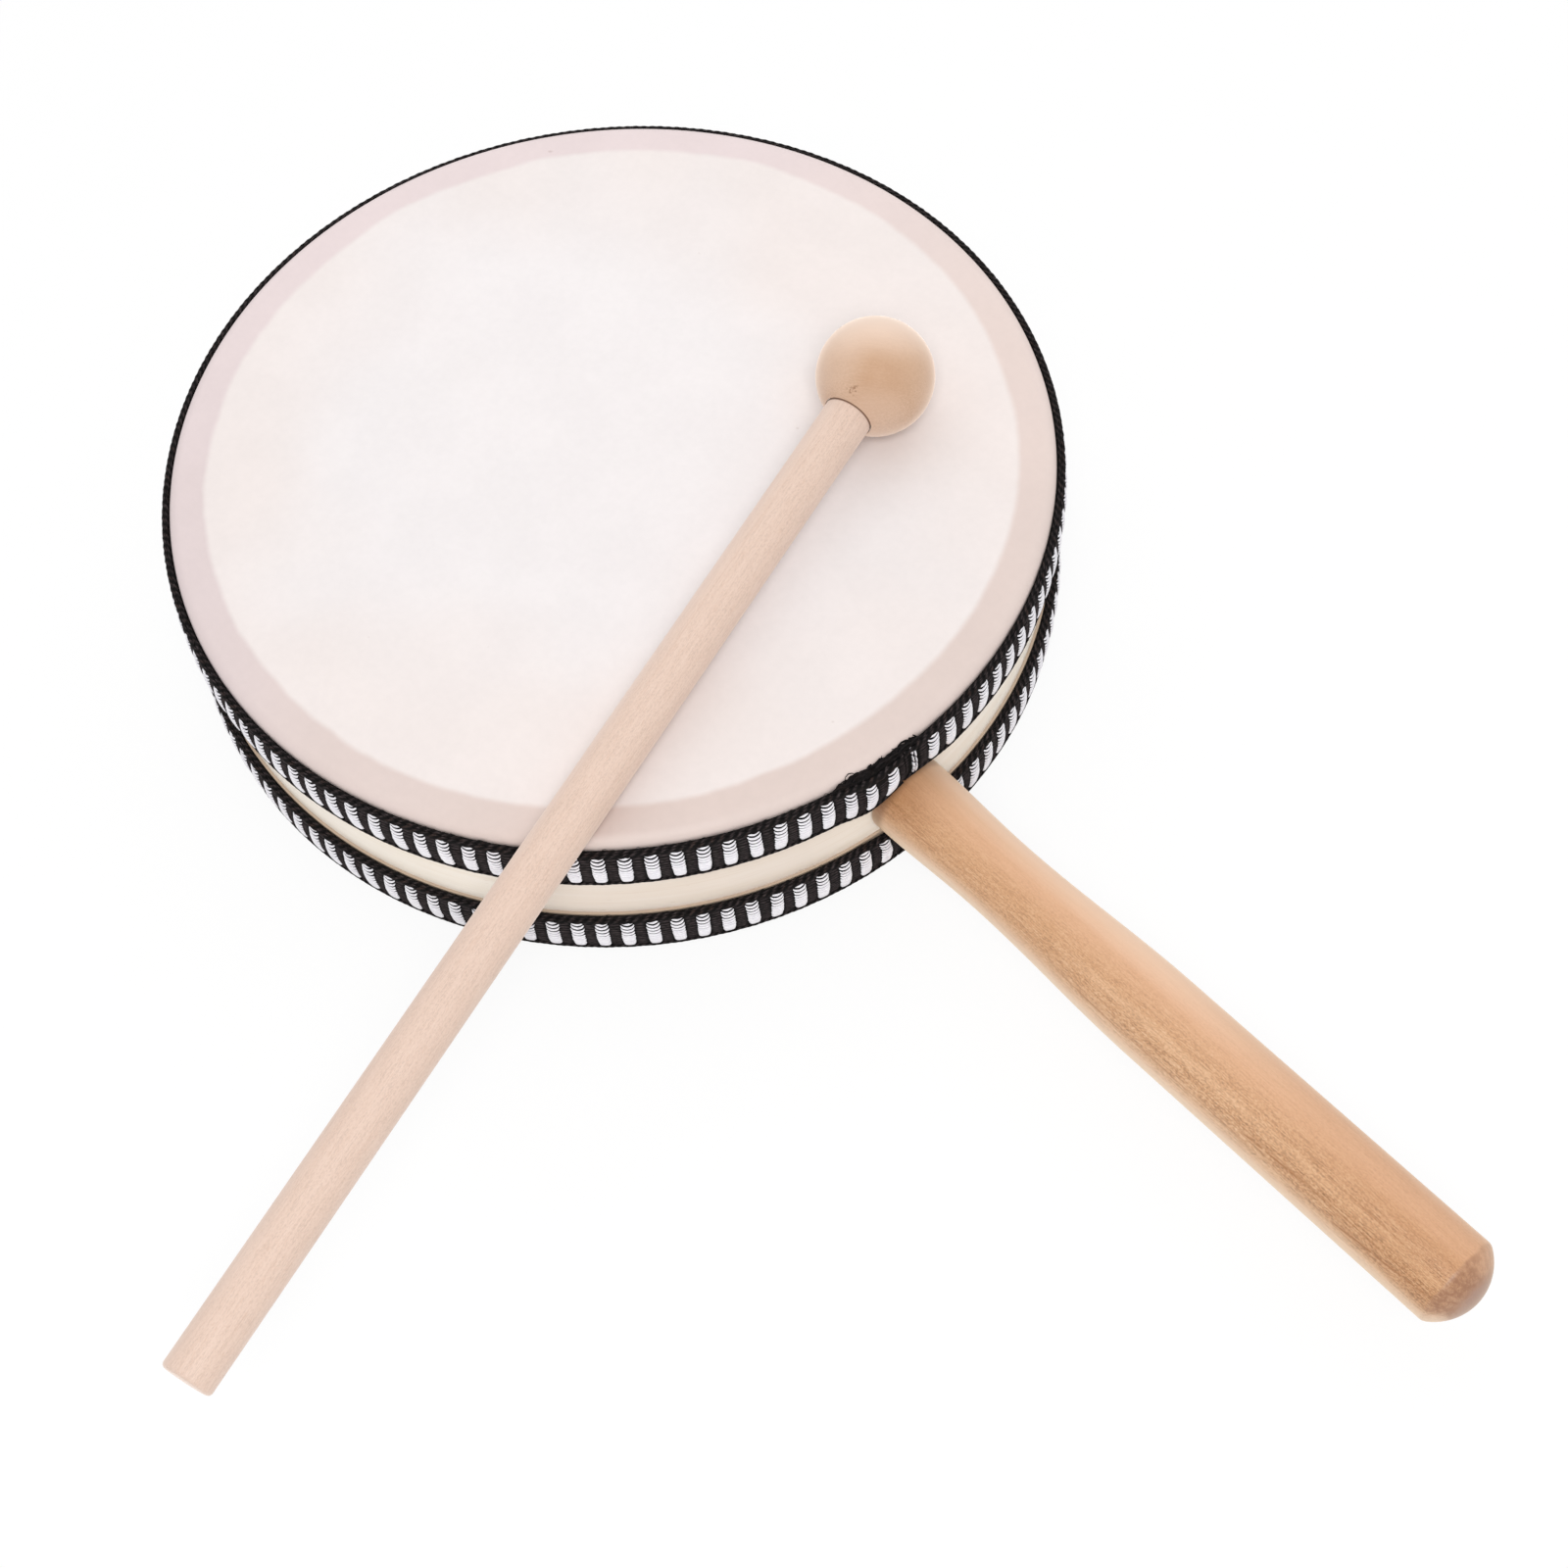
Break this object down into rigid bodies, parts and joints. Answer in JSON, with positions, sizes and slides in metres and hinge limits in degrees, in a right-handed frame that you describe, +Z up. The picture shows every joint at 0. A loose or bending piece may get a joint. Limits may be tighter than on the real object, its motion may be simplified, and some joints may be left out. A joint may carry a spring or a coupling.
{
  "type": "hand drum",
  "caption": "Shallow round wooden hand drum with a skin on each face, woven black and white trims, a turned handle and a ball-ended wooden mallet lying across the upper skin.",
  "frame": {"origin": "on the drum's axis, at the flat underside of the lower skin", "axes": "+Z up along the drum's axis, +X towards the handle's free end"},
  "size_m": [0.3605, 0.2978, 0.0733],
  "materials": {
    "hoop_wood": "sanded bare pale wood",
    "skin": "stretched raw hide, matt",
    "steel": "zinc plated",
    "black_tape": "woven braid",
    "white_yarn": "satin yarn",
    "handle_wood": "satin varnish",
    "stick_wood": "sanded bare wood",
    "ball_wood": "satin varnish"
  },
  "bodies": {
    "drum": {"shell_hoop": "hoop_wood", "upper_head": "skin", "lower_head": "skin", "upper_head_staples": "steel", "lower_head_staples": "steel", "upper_trim_tape": "black_tape", "lower_trim_tape": "black_tape", "upper_trim_yarn": "white_yarn", "lower_trim_yarn": "white_yarn", "handle": "handle_wood", "handle_screw": "steel", "handle_washer": "steel"},
    "mallet": {"mallet_stick": "stick_wood", "mallet_ball": "ball_wood"}
  },
  "joints": [
    {"name": "mallet_lift", "type": "slide", "parent": "drum", "child": "mallet", "axis": [0, 0, 1], "range_m": [0, 0.15]}
  ]
}
